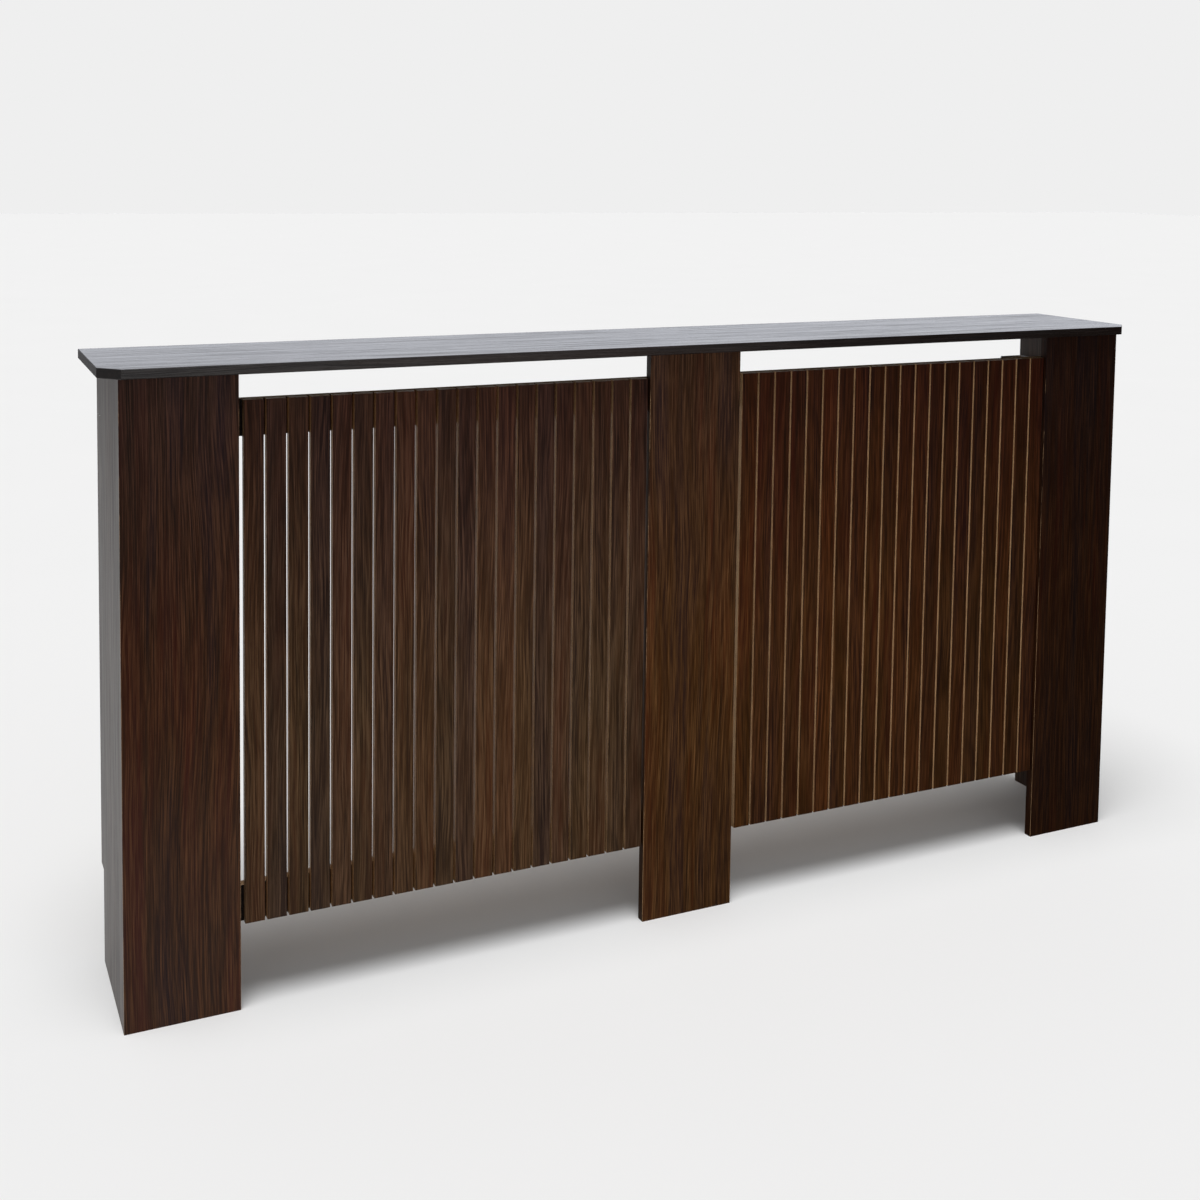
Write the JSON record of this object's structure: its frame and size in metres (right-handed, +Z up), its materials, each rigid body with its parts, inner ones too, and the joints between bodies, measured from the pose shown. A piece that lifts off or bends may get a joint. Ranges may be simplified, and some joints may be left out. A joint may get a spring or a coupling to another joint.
{
  "type": "radiator cover cabinet",
  "caption": "Open-backed slatted cabinet that stands over a wall radiator, with three full-height front stiles as feet and a shelf top with clipped front corners.",
  "frame": {"origin": "on the floor, under the middle of the top board", "axes": "+X along the length to the right seen from the front, +Y towards the wall, +Z up; the slatted front faces -Y"},
  "size_m": [1.52, 0.21, 0.78],
  "materials": {
    "top_foil": "dark wood-grain foil on fibreboard, satin",
    "stile_foil": "dark wood-grain foil on fibreboard, satin",
    "slat_foil": "dark wood-grain foil on fibreboard, cut ends bare",
    "rail_board": "bare fibreboard, dark painted face",
    "block_plastic": "moulded, fine matt grain",
    "bracket_steel": "zinc plated"
  },
  "bodies": {
    "root": {"top_board": "top_foil", "left_end_panel": "stile_foil", "right_end_panel": "stile_foil", "left_stile": "stile_foil", "middle_stile": "stile_foil", "right_stile": "stile_foil", "left_upper_rail": "rail_board", "left_lower_rail": "rail_board", "right_upper_rail": "rail_board", "right_lower_rail": "rail_board", "left_slat_01": "slat_foil", "left_slat_02": "slat_foil", "left_slat_03": "slat_foil", "left_slat_04": "slat_foil", "left_slat_05": "slat_foil", "left_slat_06": "slat_foil", "left_slat_07": "slat_foil", "left_slat_08": "slat_foil", "left_slat_09": "slat_foil", "left_slat_10": "slat_foil", "left_slat_11": "slat_foil", "left_slat_12": "slat_foil", "left_slat_13": "slat_foil", "left_slat_14": "slat_foil", "left_slat_15": "slat_foil", "left_slat_16": "slat_foil", "left_slat_17": "slat_foil", "left_slat_18": "slat_foil", "left_slat_19": "slat_foil", "left_slat_20": "slat_foil", "right_slat_01": "slat_foil", "right_slat_02": "slat_foil", "right_slat_03": "slat_foil", "right_slat_04": "slat_foil", "right_slat_05": "slat_foil", "right_slat_06": "slat_foil", "right_slat_07": "slat_foil", "right_slat_08": "slat_foil", "right_slat_09": "slat_foil", "right_slat_10": "slat_foil", "right_slat_11": "slat_foil", "right_slat_12": "slat_foil", "right_slat_13": "slat_foil", "right_slat_14": "slat_foil", "right_slat_15": "slat_foil", "right_slat_16": "slat_foil", "right_slat_17": "slat_foil", "right_slat_18": "slat_foil", "right_slat_19": "slat_foil", "right_slat_20": "slat_foil", "left_rear_block": "block_plastic", "right_rear_block": "block_plastic", "left_top_block": "block_plastic", "middle_top_block": "block_plastic", "right_top_block": "block_plastic", "left_side_block": "block_plastic", "right_side_block": "block_plastic", "left_wall_bracket": "bracket_steel", "right_wall_bracket": "bracket_steel"}
  },
  "joints": []
}
